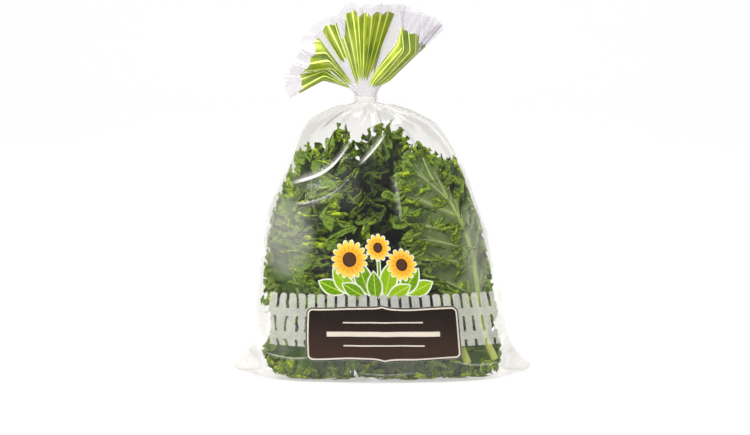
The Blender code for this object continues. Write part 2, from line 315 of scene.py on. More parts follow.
def leaf(spec, index, material):
    """One curly leaf: a blade that is folded, rolled and frilled from its midrib outwards
    by turning each line from midrib to edge, with a solid stem, midrib and side veins."""
    name, layer, stem, bare, left, right, ridge, route, look = spec
    columns, mid_layer, fold, roll, curl = look
    rng = np.random.default_rng(400 + 17 * index)
    route = np.array(route, float)
    small = len(route) == 4
    facing = -1.0 if layer < 0 else 1.0          # outwards is to the front or the back
    dense = np.linspace(0, 1, 1500)
    ribs = 7 if not small else 5
    vein_at = (np.arange(ribs) + 0.55 + rng.uniform(-0.10, 0.10, ribs)) / ribs
    lobe_size = rng.uniform(0.80, 1.12, (2, ribs))

    lean = 0.90 if index else 0.64               # how steeply the side veins leave the midrib

    def edge_and_vein(tau, sign):
        s_edge = bare + (1 - bare) * tau
        s_vein = bare * 0.9 + (1 - bare * 0.9) * (lean * tau ** 1.05)
        p = through(route, s_edge)
        d = unit(through(route, s_edge + 0.004) - through(route, s_edge - 0.004))
        side = np.stack([d[:, 1], -d[:, 0]], -1)
        shape = np.sin(np.pi * (tau * 0.94 + 0.06)) ** 0.62
        # one lobe to each side vein, with a bay between it and the next
        off = tau[None, :] - vein_at[:, None]
        near = np.exp(-(np.abs(off) * ribs / 0.50) ** 2.6)
        which = lobe_size[(sign + 1) // 2][:, None]
        lobe = 0.50 + 0.56 * np.max(near * which, axis=0) + 0.05 * np.sin(tau * 61 + 2 * index + sign)
        lobe = lobe * (1 - step(0.86, 1.0, tau)) + step(0.86, 1.0, tau)
        width = (right if sign > 0 else left) * shape * lobe * (0.55 + 0.45 * step(0.0, 0.10, tau))
        p = p - d * (15.0 * (1 - step(0.0, 0.16, tau)) * (bare < 0.08))[:, None]
        return p + side * (sign * width)[:, None], through(route, s_vein), d

    halves = []
    for sign in (-1, 1):
        e, _, _ = edge_and_vein(dense, sign)
        far = np.concatenate([[0], np.cumsum(np.linalg.norm(np.diff(e, axis=0), axis=1))])
        n = columns // 2 + 1
        tau = np.interp(np.linspace(0, far[-1], n), far, dense)
        tau[0], tau[-1] = 0, 1
        e, v, d = edge_and_vein(tau, sign)
        halves.append((tau, e, v, d, np.linspace(0, far[-1], n)))
    (tl, el, vl, dl, pl), (tr, er, vr, dr, pr) = halves
    edge = np.concatenate([el, er[::-1][1:]])
    vein = np.concatenate([vl, vr[::-1][1:]])
    tau = np.concatenate([tl, tr[::-1][1:]])
    ahead = np.concatenate([dl, dr[::-1][1:]])
    at_edge = np.concatenate([pl, pl[-1] + (pr[-1] - pr[::-1][1:])])
    vein = (vein + vein[::-1]) / 2                # both halves share their midrib points
    hand = np.concatenate([np.zeros(len(pl)), np.ones(len(pr) - 1)])
    hand = np.convolve(np.pad(hand, 20, mode="edge"), np.ones(41) / 41, "valid")
    cols = len(edge)

    seam = 7
    r = np.array([0, 0.08, 0.16, 0.24, 0.32, 0.40, 0.47, 0.53, 0.58, 0.63, 0.68, 0.725, 0.765, 0.80, 0.835,
                  0.865, 0.895, 0.92, 0.945, 0.965, 0.985, 1.0])
    rr = r[:, None]
    reach = np.linalg.norm(edge - vein, axis=1)
    flat = vein[None] * (1 - rr)[..., None] + edge[None] * rr[..., None]
    flat = flat + ahead[None] * (rr * (1 - rr) * 0.30 * reach[None])[..., None]
    x, z = flat[..., 0], flat[..., 1]
    middle, a, b, _ = bag_at(np.clip(z, 0, 258))
    u = (x - middle) / a
    u = np.where(np.abs(u) > 0.84, np.sign(u) * (0.84 + 0.10 * np.tanh((np.abs(u) - 0.84) / 0.10)), u)
    x = middle + u * a
    base = np.stack([x, mid_layer * half_depth(x, np.clip(z, 0, 258)), z], -1)

    out = np.gradient(base, axis=0)
    along = np.gradient(base, axis=1)
    n = unit(np.cross(out, along))
    n = np.where((n[..., 1:2] * facing) < 0, -n, n)
    out, along = unit(out), unit(along)

    # how far each line from midrib to edge has turned, out of the sheet and along it
    bend = (fold[0] * (1 - hand) + fold[1] * hand)[None] * step(0.0, 0.30, rr)
    bend = bend + (roll[0] * (1 - hand) + roll[1] * hand)[None] * step(0.58 if index == 0 else 0.45, 1.0, rr)
    bend = bend + 12 * bumps(x, z, 46, rng) * step(0.1, 0.5, rr) + 7 * bumps(x, z, 17, rng) * step(0.15, 0.6, rr)
    slip = 0
    # crest: ridges of the curls (positive) and their hollows (negative), which the material turns into painted
    # highlight and painted shade
    crest = np.zeros_like(x)
    inner = (1 - rr) * np.maximum(reach, 20.0)[None]      # mm in from the free edge
    levels = ((19.0 if not small else 15.0, 34, 26.0, 0.16), (7.2 if not small else 6.8, 55, 14.5, 0.32),
              (3.9, 64, 7.6, 0.46))
    for wave, degrees, band, weight in levels:
        wave = wave * rng.uniform(0.93, 1.07)
        pace = np.clip(1 + 0.32 * wobble(at_edge, wave * 3.3, rng), 0.5, 1.7)
        phase = 2 * math.pi * np.cumsum(np.gradient(at_edge) / wave * pace)
        phase = phase[None] + 1.1 * wobble(at_edge[None] + 16 * rr, wave * 4.2, rng) + rr * rng.uniform(-2.2, 2.2)
        strength = np.clip(1 + 0.38 * wobble(at_edge, wave * 4.5, rng), 0.45, 1.6)
        ramp = np.clip(1 - inner / band, 0, 1) ** 0.7
        grow = ramp * (degrees * curl * strength)[None]
        bend = bend + grow * np.sin(phase)
        slip = slip - 0.46 * grow * np.sin(2 * phase + 0.4)
        crest = crest + weight * np.sin(phase + 0.9) * ramp
    bend, slip = np.radians(bend), np.radians(slip)
    length = np.linalg.norm(np.diff(base, axis=0), axis=2)
    teeth = 1 + (0.16 * np.sin(2 * math.pi * at_edge / 5.3 + 1.2 * wobble(at_edge, 21, rng))
                 + 0.10 * wobble(at_edge, 8, rng))[None] * step(0.66, 1.0, rr[1:])
    length = length * (1.10 + 0.02 * step(0.4, 1.0, rr[1:])) * teeth
    mid = (bend[1:] + bend[:-1]) / 2
    shift = (slip[1:] + slip[:-1]) / 2
    stride = (out[1:] * (np.cos(mid) * np.cos(shift))[..., None] + n[1:] * (np.sin(mid) * np.cos(shift))[..., None]
              + along[1:] * np.sin(shift)[..., None]) * length[..., None]
    s = np.concatenate([base[:1], base[:1] + np.cumsum(stride, axis=0)])

    # blisters between the side veins
    gap = np.min(np.abs(tau[None, :] - vein_at[:, None]), axis=0) * at_edge[-1] / 2
    quilt = (1 - np.exp(-(gap[None] * (0.25 + 0.75 * rr) / 4.2) ** 2)) * step(0.02, 0.25, rr)
    upper_out = ridge * facing < 0
    nn, _, _ = sheet_normals(s)
    nn = nn * np.where((nn[1:4, :, 1] * facing).mean() < 0, -1.0, 1.0)     # outwards
    lumps = bumps(x, z, 7.5, rng, 14)
    # small round puckers all over the outer part of the blade
    wide = 11.0 if index == 0 else 17.0
    pucker = bumps(x, z, 4.1, rng, 18)
    outer = np.clip(1.25 - inner / wide, 0, 1) ** 0.8
    s = s + nn * ((1.0 if upper_out else -1.0) * 1.3 * quilt + (0.55 if index == 0 else 1.15) * lumps * step(0.05, 0.3, rr)
                  + 1.35 * pucker * outer)[..., None]
    crest = crest + (0.50 * pucker * outer + 0.22 * lumps * step(0.1, 0.4, rr)) * (1.0 if upper_out else -1.0)
    s[0] = (s[0] + s[0][::-1]) / 2
    s = keep_inside(s, NEAREST.get(name, 0.955), 0.968)

    nn, _, _ = sheet_normals(s)
    flip = (nn[1:4, :, 1] * facing).mean() < 0
    rim_value = np.broadcast_to(rr, x.shape)
    vein_value = np.exp(-((gap[None] * (0.10 + 0.90 * rr)) / 1.1) ** 2) * (1 - step(0.50, 0.85, rr))
    thick_value = 0.80 - 0.36 * rim_value
    tone = rng.uniform(0, 1)
    parts = Parts()

    # nearness to the film, which the material turns into painted shade far inside the bag
    def depths(points, paler=0.0):
        return np.stack([nearness(points), np.zeros(len(points)) + paler, np.zeros(len(points))], -1)

    def add_sheet(rows, columns_used):
        g = np.ix_(rows, columns_used)
        pts, nrm = s[g].reshape(-1, 3), nn[g].reshape(-1, 3)
        nrm = -nrm if flip else nrm
        quads = grid_quads(len(rows), len(columns_used))
        solid, faces = thicken(pts, nrm, quads if not flip else quads[:, ::-1], thick_value[g].reshape(-1))
        count = len(pts)
        # the first copy faces outwards
        first, second = (0.0, 1.0) if upper_out else (1.0, 0.0)
        c = crest[g].reshape(-1)
        parts.add(solid, faces,
                  leaf_a=np.stack([np.tile(rim_value[g].reshape(-1), 2), np.tile(vein_value[g].reshape(-1), 2),
                                   np.repeat([first, second], count)], -1),
                  leaf_b=np.stack([np.zeros(2 * count), np.concatenate([c, -c]), np.full(2 * count, tone)], -1),
                  leaf_c=depths(solid))

    every = np.unique(np.concatenate([np.arange(0, cols, 4), [cols - 1]]))
    add_sheet(np.arange(0, seam + 1), every)
    add_sheet(np.arange(seam - 1, len(r)), np.arange(cols))

    # stem and midrib, one rod that thins to the tip and stands out on the underside
    steps = 64 if not small else 34
    at = np.linspace(0, 0.93, steps)
    line = through(route, at)
    zc = np.clip(line[:, 1], 0, 258)
    py = (layer + (mid_layer - layer) * step(0.0, 0.30, at)) * half_depth(line[:, 0], zc)
    half = cols // 2
    mid_s, mid_line = bare * 0.9 + (1 - bare * 0.9) * (lean * tau[: half + 1] ** 1.05), s[0][: half + 1]
    blade_y = np.interp(at, mid_s, mid_line[:, 1])
    on_blade = step(0.10, 0.30, at)
    radius = np.where(at < bare, stem * (1.10 - 0.16 * at / bare),
                      stem * 0.94 * (1 - (at - bare) / (1 - bare)) ** 0.85 + 0.25)
    away = ridge * radius * 0.45 * on_blade
    path = np.stack([line[:, 0], py * (1 - on_blade) + blade_y * on_blade + away, line[:, 1]], -1)
    path[:, 1] += 0.35 * wobble(at * 100, 30, rng) * (1 - step(bare, 1.0, at))
    path = keep_inside(path, 0.90, 0.93)
    rod, rod_faces = tube(path, radius, 14, flat=0.92)
    share = np.concatenate([np.repeat(at, 14), [0, 1]])
    cut = np.zeros(len(rod))
    cut[-2] = 1.0
    cut[:14] = 0.75
    parts.add(rod, rod_faces,
              leaf_a=np.stack([share, np.ones(len(rod)), np.ones(len(rod))], -1),
              leaf_b=np.stack([np.ones(len(rod)), cut, np.full(len(rod), tone)], -1), 
              leaf_c=depths(rod, 1 - step(0.12, 0.34, share)))

    # side veins, raised on the underside; those of the first leaf each get two branches
    inward = -1.0 if upper_out else 1.0
    outwards = -nn if flip else nn
    for sign in (-1, 1):
        for v in vein_at:
            c0 = int(np.argmin(np.abs(tau[: half + 1] - v)))
            c0 = c0 if sign < 0 else cols - 1 - c0
            branches = ((0, 0.0, 1.0), (4, 7.0, 0.55), (6, -6.0, 0.5))
            for start, drift, fat0 in branches if columns > 1100 or index == 0 else branches[:1]:
                last = int(np.searchsorted(r, 0.86 if start == 0 else 0.74))
                rows = np.arange(start, last + 1)
                move = drift * (r[rows] - r[start]) / max(r[last] - r[start], 0.01) / (at_edge[-1] / cols)
                cc = np.clip(c0 + move.astype(int), 0, cols - 1)
                line3 = s[rows, cc] + outwards[rows, cc] * (inward * 0.42)
                span = np.linalg.norm(np.diff(line3, axis=0), axis=1).sum()
                if span < 7:
                    continue
                far = np.concatenate([[0], np.cumsum(np.linalg.norm(np.diff(line3, axis=0), axis=1))])
                at2 = np.linspace(0, far[-1], 14)
                line3 = np.stack([np.interp(at2, far, line3[:, k]) for k in range(3)], -1)
                fat = np.linspace(1.1, 0.30, 14) * fat0 * (0.8 if small else 1.0) * (stem / 3.4)
                vt, vf = tube(line3, fat, 6)
                parts.add(vt, vf,
                          leaf_a=np.stack([np.full(len(vt), 0.4), np.full(len(vt), 0.85), np.ones(len(vt))], -1),
                          leaf_b=np.stack([np.full(len(vt), 0.55), np.zeros(len(vt)), np.full(len(vt), tone)], -1),
                          leaf_c=depths(vt))
    obj = parts.make(f"curly_leaf_{name}", material)
    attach(obj, "root")
    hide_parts(f"kale_leaf_{name}")
    return obj


# ======================================================================================
# Node trees in a few words
# ======================================================================================
class Tree:
    def __init__(self, name):
        self.material = bpy.data.materials.new(name)
        self.material.use_nodes = True
        self.nt = self.material.node_tree
        self.nt.nodes.clear()
        self.out = self.nt.nodes.new("ShaderNodeOutputMaterial")

    def node(self, kind, **props):
        made = self.nt.nodes.new(kind)
        for key, value in props.items():
            setattr(made, key, value)
        return made

    def put(self, socket, value):
        if value is None:
            return
        if isinstance(value, bpy.types.NodeSocket):
            self.nt.links.new(value, socket)
        elif isinstance(value, (tuple, list)) and len(value) == 3 and socket.type == "RGBA":
            socket.default_value = (*value, 1.0)
        else:
            socket.default_value = value

    def math(self, op, a, b=None, c=None, clamp=False):
        made = self.node("ShaderNodeMath", operation=op, use_clamp=clamp)
        for socket, value in zip(made.inputs, (a, b, c)):
            self.put(socket, value)
        return made.outputs[0]

    def add(self, a, b): return self.math("ADD", a, b)
    def sub(self, a, b): return self.math("SUBTRACT", a, b)
    def mul(self, a, b): return self.math("MULTIPLY", a, b)
    def div(self, a, b): return self.math("DIVIDE", a, b)
    def least(self, a, b): return self.math("MINIMUM", a, b)
    def most(self, a, b): return self.math("MAXIMUM", a, b)
    def size(self, a): return self.math("ABSOLUTE", a)
    def sine(self, a): return self.math("SINE", a)

    def ramp(self, value, lo, hi, out_lo=0.0, out_hi=1.0, smooth=True):
        made = self.node("ShaderNodeMapRange", interpolation_type="SMOOTHSTEP" if smooth else "LINEAR")
        self.put(made.inputs["Value"], value)
        for key, v in (("From Min", lo), ("From Max", hi), ("To Min", out_lo), ("To Max", out_hi)):
            self.put(made.inputs[key], v)
        return made.outputs[0]

    def mix(self, share, a, b):
        made = self.node("ShaderNodeMix", data_type="RGBA")
        self.put(made.inputs[0], share)
        self.put(made.inputs[6], a)
        self.put(made.inputs[7], b)
        return made.outputs[2]

    def attribute(self, name):
        made = self.node("ShaderNodeAttribute", attribute_name=name)
        split = self.node("ShaderNodeSeparateXYZ")
        self.nt.links.new(made.outputs["Vector"], split.inputs[0])
        return made.outputs["Vector"], split.outputs[0], split.outputs[1], split.outputs[2]

    def place(self):
        return self.node("ShaderNodeTexCoord").outputs["Object"]

    def noise(self, vector, scale, detail=3.0, rough=0.55, distortion=0.0):
        made = self.node("ShaderNodeTexNoise")
        self.put(made.inputs["Vector"], vector)
        self.put(made.inputs["Scale"], scale)
        self.put(made.inputs["Detail"], detail)
        self.put(made.inputs["Roughness"], rough)
        self.put(made.inputs["Distortion"], distortion)
        return made.outputs["Fac"]

    def voronoi(self, vector, scale, feature="F1"):
        made = self.node("ShaderNodeTexVoronoi", feature=feature)
        self.put(made.inputs["Vector"], vector)
        self.put(made.inputs["Scale"], scale)
        return made.outputs["Distance"]

    def bump(self, height, distance, strength=1.0, normal=None):
        made = self.node("ShaderNodeBump")
        self.put(made.inputs["Strength"], strength)
        self.put(made.inputs["Distance"], distance)
        self.put(made.inputs["Height"], height)
        self.put(made.inputs["Normal"], normal)
        return made.outputs[0]

    def principled(self, **values):
        made = self.node("ShaderNodeBsdfPrincipled")
        for key, value in values.items():
            self.put(made.inputs[key.replace("_", " ")], value)
        return made.outputs[0]

    def join(self, share, a, b):
        made = self.node("ShaderNodeMixShader")
        self.put(made.inputs[0], share)
        self.nt.links.new(a, made.inputs[1])
        self.nt.links.new(b, made.inputs[2])
        return made.outputs[0]

    def finish(self, shader):
        self.nt.links.new(shader, self.out.inputs["Surface"])
        return self.material


def kale_material():
    t = Tree("kale_leaf")
    _, rim, vein, under = t.attribute("leaf_a")
    _, stem, crest, tone = t.attribute("leaf_b")
    _, near, bare, _ = t.attribute("leaf_c")
    place = t.place()
    broad = t.noise(place, 24.0, 3.0)
    fine = t.noise(place, 210.0, 4.0, 0.6)
    curls = t.voronoi(place, 330.0)
    grain = t.voronoi(place, 620.0)
    blade = t.mix(t.ramp(broad, 0.35, 0.68), (0.036, 0.084, 0.010), (0.074, 0.150, 0.015))
    frill = t.mix(t.ramp(fine, 0.3, 0.7), (0.130, 0.245, 0.005), (0.310, 0.420, 0.010))
    edge = t.add(rim, t.mul(t.sub(broad, 0.5), 0.35))
    upper = t.mix(t.ramp(edge, 0.40, 0.86), blade, frill)
    # painted highlight: the ridges of the curls (crest) are lightened towards a bright yellow green; painted shade:
    # their hollows are darkened towards near black
    upper = t.mix(t.mul(t.ramp(crest, 0.06, 0.74), 0.74), upper, (0.600, 0.720, 0.026))
    upper = t.mix(t.mul(t.ramp(crest, -0.05, -0.7), 0.74), upper, (0.016, 0.048, 0.004))
    # painted shade: small dark spots between the curls of the frilled margin
    pit_shade = t.mul(t.ramp(curls, 0.42, 0.72), t.ramp(rim, 0.35, 0.75))
    upper = t.mix(t.mul(pit_shade, 0.64), upper, (0.014, 0.044, 0.004))
    # painted highlight: small bright spots on the frilled margin where the curls catch the light
    knob_highlight = t.mul(t.ramp(curls, 0.24, 0.04), t.ramp(rim, 0.40, 0.80))
    upper = t.mix(t.mul(knob_highlight, 0.34), upper, (0.520, 0.620, 0.030))
    lower = t.mix(t.ramp(fine, 0.3, 0.7), (0.090, 0.138, 0.044), (0.134, 0.186, 0.066))
    lower = t.mix(t.ramp(rim, 0.5, 0.95), lower, (0.165, 0.270, 0.030))
    colour = t.mix(under, upper, lower)
    colour = t.mix(t.mul(vein, t.ramp(under, 0.0, 1.0, 0.26, 0.80)), colour, (0.330, 0.400, 0.160))
    colour = t.mix(t.mul(t.ramp(grain, 0.5, 0.1), 0.14), colour, (0.020, 0.060, 0.008))
    colour = t.mix(t.ramp(tone, 0.0, 1.0, -0.1, 0.14, smooth=False), colour, (0.22, 0.33, 0.02))
    rib = t.mix(t.ramp(fine, 0.25, 0.75), (0.215, 0.305, 0.070), (0.310, 0.390, 0.105))
    rib = t.mix(t.mul(bare, 0.75), rib, (0.430, 0.480, 0.090))
    rib = t.mix(t.mul(t.ramp(crest, 0.2, 0.9), 0.6), rib, (0.520, 0.560, 0.260))
    colour = t.mix(t.ramp(stem, 0.3, 0.9), colour, rib)
    # painted shade: colour darkened to near black far inside the bag, away from the film, where less light reaches
    # between the leaves
    depth_lighting = t.ramp(t.add(near, t.mul(t.sub(broad, 0.5), 0.20)), 0.30, 0.84)
    colour = t.mix(depth_lighting, (0.012, 0.032, 0.006), colour)
    rough = t.ramp(fine, 0.2, 0.8, 0.42, 0.62)
    lump = t.noise(place, 300.0, 3.0)
    frilly = t.mul(t.ramp(rim, 0.30, 0.85), t.sub(1.0, stem))
    height = t.add(t.mul(lump, 0.30), t.mul(t.mul(t.sub(1.0, curls), frilly), 1.5))
    normal = t.bump(t.add(height, t.mul(grain, 0.12)), 0.0016, 0.80)
    solid = t.principled(Base_Color=colour, Roughness=rough, Normal=normal, Specular_IOR_Level=0.17)
    glow = t.node("ShaderNodeBsdfTranslucent")
    # painted light: the translucency colour is lightened near the film
    t.put(glow.inputs["Color"], t.mix(t.mul(depth_lighting, 0.45), colour, (0.36, 0.52, 0.02)))
    t.put(glow.inputs["Normal"], normal)
    share = t.ramp(stem, 0.2, 0.8, 0.24, 0.06)
    return t.finish(t.join(share, solid, glow.outputs[0]))


# ======================================================================================
# The film bag
# ======================================================================================
V_TOP = 300.0        # film length from the base's edge to the band


def film_material():
    t = Tree("printed_film")
    _, u, v, left = t.attribute("film")
    place = t.place()

    def rounded(cu, cv, hu, hv, r):
        """Signed distance to a rounded rectangle in film millimetres; inside is negative."""
        peak = t.mul(t.math("EXPONENT", t.div(t.size(t.sub(u, cu)), -6.0)), 2.2)
        du = t.sub(t.size(t.sub(u, cu)), hu - r)
        dv = t.sub(t.sub(t.size(t.sub(t.add(v, t.mul(t.sine(t.mul(u, 0.075)), 0.7)), cv)), hv - r), peak)
        outside = t.math("SQRT", t.add(t.mul(t.most(du, 0.0), t.most(du, 0.0)), t.mul(t.most(dv, 0.0), t.most(dv, 0.0))))
        return t.sub(t.add(outside, t.least(t.most(du, dv), 0.0)), r)

    def inside(distance, soft=0.35):
        return t.ramp(distance, soft, -soft)

    def strip(value, middle, half, soft=0.35):
        return t.ramp(t.size(t.sub(value, middle)), half + soft, half - soft)

    # a white band of upright stripes with a scalloped top edge
    period = 10.0
    slack = t.mul(t.sub(t.noise(place, 34.0, 2.0), 0.5), t.ramp(u, -48.0, -84.0, 2.0, 15.0))
    cell = t.sub(t.mul(t.math("FRACT", t.div(t.add(t.add(u, slack), 700.0), period)), period), period / 2)
    top = t.add(81.0, t.mul(t.math("SQRT", t.most(t.sub(16.0, t.mul(t.mul(cell, cell), 0.64)), 0.0)), 1.1))
    band = t.mul(t.ramp(t.sub(v, 35.5), -0.3, 0.3), t.ramp(t.sub(top, v), -0.3, 0.3))
    slit = t.ramp(t.size(t.sub(t.size(cell), period / 2)), 1.55, 1.15)
    rails = t.most(strip(v, 67.5, 3.7), strip(v, 45.4, 3.7))
    slit = t.mul(slit, t.sub(1.0, rails))
    on_front = t.mul(t.ramp(u, -110.6, -110.0), t.ramp(u, 120.6, 120.0))
    on_back = t.ramp(u, 189.4, 190.0)
    band = t.mul(band, t.most(on_front, t.most(on_back, t.ramp(u, -189.4, -190.0))))
    white = t.mul(band, t.sub(1.0, slit))
    # the brown panel with a pale outline and plain pale rules
    panel_d = rounded(3.0, 48.0, 70.5, 24.2, 5.0)
    panel = inside(panel_d)
    outline = t.mul(inside(panel_d), t.ramp(panel_d, -1.7, -1.2))
    gap = t.mul(t.ramp(panel_d, 1.5, 1.0), t.sub(1.0, panel))
    rules = t.mul(strip(v, 48.0, 2.3, 0.25), strip(u, 3.0, 52.0))
    for height in (59.0, 37.0):
        rules = t.most(rules, t.mul(strip(v, height, 0.6, 0.2), strip(u, 3.0, 37.0)))
    pale = t.most(outline, rules)
    # a plain motif above the band: garden leaves in a low fan and three daisy-like flowers
    def spun(cu, cv, degrees):
        du, dv = t.sub(u, float(cu)), t.sub(v, float(cv))
        ca, sa = math.cos(math.radians(degrees)), math.sin(math.radians(degrees))
        return t.add(t.mul(du, ca), t.mul(dv, sa)), t.sub(t.mul(dv, ca), t.mul(du, sa))

    motif = []                                    # (inside, colour), painted in this order
    for cu, lean, tall in ((2.0, 0.0, 129.0), (-24.0, -0.12, 118.0), (21.0, 0.14, 113.0)):
        off = t.size(t.sub(u, t.add(t.mul(t.sub(v, 100.0), lean), cu)))
        upto = t.ramp(v, tall, tall - 0.5)
        motif.append((t.mul(t.ramp(off, 2.2, 1.7), upto), (0.52, 0.55, 0.42)))
        motif.append((t.mul(t.ramp(off, 1.2, 0.8), upto), (0.085, 0.190, 0.003)))
    for cu, cv, degrees, length, wide, light in (
            (-45, 92, 158, 15, 7.5, 0), (41, 91, 24, 15, 7.5, 1), (-33, 97, 132, 17, 8.5, 1), (31, 97, 50, 17, 8.5, 0),
            (-14, 101, 108, 18, 9.0, 0), (11, 100, 74, 18, 9.0, 1), (-3, 93, 92, 15, 8.0, 0),
            (-23, 89, 150, 14, 7.0, 0), (20, 88, 28, 14, 7.0, 1)):
        ax, ay = spun(cu, cv, degrees)
        part = t.div(ax, float(length))
        d = t.mul(t.sub(t.size(ay), t.mul(t.sub(1.0, t.mul(part, part)), float(wide))), 0.8)
        shade = ((0.085, 0.190, 0.003), (0.165, 0.290, 0.005))[light]
        motif.append((inside(d, 0.3), (0.52, 0.55, 0.42)))
        motif.append((inside(t.add(d, 1.1), 0.3), shade))
        side = t.ramp(t.math("FRACT", t.div(t.sub(ax, t.mul(t.size(ay), 0.8)), 5.0)), 0.12, 0.02)
        midrib = t.most(t.ramp(t.size(ay), 0.55, 0.30), t.mul(side, 0.55))
        motif.append((t.mul(inside(t.add(d, 1.6), 0.3), midrib), (0.33, 0.44, 0.06)))
    for cu, cv, size, petals, turn in ((-27, 118, 17.5, 15, 0.3), (25, 113, 14.5, 13, 1.1), (2, 129, 12.0, 12, 2.0)):
        ax, ay = spun(cu, cv, 0)
        r = t.math("SQRT", t.add(t.mul(ax, ax), t.mul(ay, ay)))
        angle = t.math("ARCTAN2", ay, ax)
        beat = t.size(t.sine(t.add(t.mul(angle, petals / 2), turn)))
        d = t.sub(r, t.mul(t.add(0.66, t.mul(t.math("POWER", beat, 0.55), 0.34)), size))
        motif.append((inside(t.sub(d, 1.0), 0.3), (0.54, 0.54, 0.46)))
        motif.append((inside(d, 0.3), (0.74, 0.42, 0.045)))
        motif.append((t.mul(inside(d, 0.3), t.ramp(r, size * 0.95, size * 0.45, 0.0, 0.8)), (0.70, 0.24, 0.012)))
        motif.append((t.mul(inside(d, 0.3), t.ramp(beat, 0.34, 0.10)), (0.42, 0.14, 0.010)))
        motif.append((inside(t.sub(r, size * 0.40), 0.3), (0.030, 0.014, 0.009)))
        seeds = t.mul(t.sine(t.mul(ax, 2.6)), t.sine(t.mul(ay, 2.6)))
        motif.append((t.mul(inside(t.sub(r, size * 0.33), 0.3), t.ramp(seeds, 0.35, 0.75)), (0.16, 0.075, 0.03)))
    above = t.ramp(t.sub(v, t.sub(top, 0.5)), -0.3, 0.3)
    motif = [(t.mul(cover, above), tint) for cover, tint in motif]

    # green stripes on parts of the flared mouth, with clear film between them
    past = t.sub(v, V_TOP)
    _, begins, border, within = t.attribute("mouth")
    ragged = t.mul(t.sine(t.mul(u, 0.55)), 1.1)
    green = t.mul(t.ramp(t.sub(past, t.add(begins, t.mul(ragged, 2.0))), -0.4, 0.4),
                  t.ramp(t.sub(left, t.add(border, ragged)), -0.4, 0.4))
    green = t.mul(green, t.ramp(within, -0.4, 0.4))
    slant = t.math("FRACT", t.div(t.add(t.add(u, t.mul(past, 0.06)), 700.4), 7.6))
    line = t.ramp(t.size(t.sub(slant, 0.5)), 0.105, 0.062)

    wear = t.noise(place, 55.0, 4.0, 0.6)
    grain = t.noise(place, 700.0, 2.0)
    brown = t.mix(t.ramp(t.add(v, t.mul(wear, 12.0)), 78.0, 30.0), (0.0070, 0.0042, 0.0034), (0.036, 0.0175, 0.0120))
    brown = t.mix(t.mul(t.ramp(grain, 0.3, 0.7), 0.4), brown, (0.013, 0.0075, 0.0055))
    colour = t.mix(white, (0.92, 0.93, 0.92), (0.60, 0.59, 0.55))
    colour = t.mix(gap, colour, (0.03, 0.022, 0.018))
    colour = t.mix(panel, colour, brown)
    colour = t.mix(t.mul(pale, panel), colour, (0.52, 0.47, 0.40))
    drawn = 0.0
    for cover, tint in motif:
        colour = t.mix(cover, colour, tint)
        drawn = t.most(drawn, cover)
    green_ink_and_fold_shade = t.mix(t.ramp(wear, 0.3, 0.72), (0.140, 0.210, 0.001), (0.300, 0.370, 0.003))
    # painted shade: streaks stretched along the mouth's film darken the green print where its folds fall into shade
    fold_shade_coords = t.node("ShaderNodeCombineXYZ")
    t.put(fold_shade_coords.inputs[0], t.mul(u, 0.20))
    t.put(fold_shade_coords.inputs[1], t.mul(past, 0.030))
    green_ink_and_fold_shade = t.mix(t.mul(t.ramp(t.noise(fold_shade_coords.outputs[0], 1.0, 2.0, 0.5, 0.4), 0.50, 0.66), 0.72), green_ink_and_fold_shade, (0.050, 0.120, 0.001))
    colour = t.mix(green, colour, t.mix(line, green_ink_and_fold_shade, (0.72, 0.79, 0.21)))
    ink = t.most(t.mul(white, t.ramp(t.add(t.mul(grain, 0.5), t.mul(wear, 0.5)), 0.32, 0.66, 0.38, 0.55)), t.mul(t.most(panel, t.mul(gap, 0.8)), 0.97))
    ink = t.most(ink, t.mul(drawn, t.ramp(wear, 0.3, 0.8, 0.96, 0.90)))
    ink = t.most(ink, t.mul(green, t.ramp(wear, 0.3, 0.8, 0.96, 0.88)))

    # painted highlights where folds of the film catch the light: thin bright streaks with a softer side, laid in as
    # white haze on the clear film and lightened into the print
    split = t.node("ShaderNodeSeparateXYZ")
    t.nt.links.new(place, split.inputs[0])
    px, py, pz = [t.mul(split.outputs[k], 1000.0) for k in range(3)]

    # one painted highlight along a fold, from a curve through (x, z) points on the front or back
    def fold(points, width, strength, side=1.0, soft=3.5, face=-1.0):
        pts = np.array(points, float)
        upright = np.ptp(pts[:, 1]) > np.ptp(pts[:, 0])
        m, o = (pts[:, 1], pts[:, 0]) if upright else (pts[:, 0], pts[:, 1])
        lo, hi = m.min(), m.max()
        f = np.polyfit((m - lo) / (hi - lo), o, min(3, len(m) - 1))[::-1]
        slope = math.sqrt(1 + ((o[-1] - o[0]) / (m[-1] - m[0])) ** 2)
        mm, oo = (pz, px) if upright else (px, pz)
        s1 = t.div(t.sub(mm, float(lo)), float(hi - lo))
        value = float(f[-1])
        for k in range(len(f) - 2, -1, -1):
            value = t.add(t.mul(s1, value), float(f[k]))
        d = t.div(t.sub(oo, value), slope)
        ends = t.mul(t.ramp(s1, 0.0, 0.30), t.ramp(s1, 1.0, 0.70))
        core = t.ramp(t.size(d), width, width * 0.25)
        away = t.mul(d, side)
        tail = t.mul(t.mul(t.ramp(away, soft, 0.0), t.ramp(away, -0.4, 0.2)), 0.34)
        onto = t.ramp(t.mul(py, face), 0.0, 4.0)
        return t.mul(t.mul(t.most(core, tail), ends), t.mul(onto, strength))

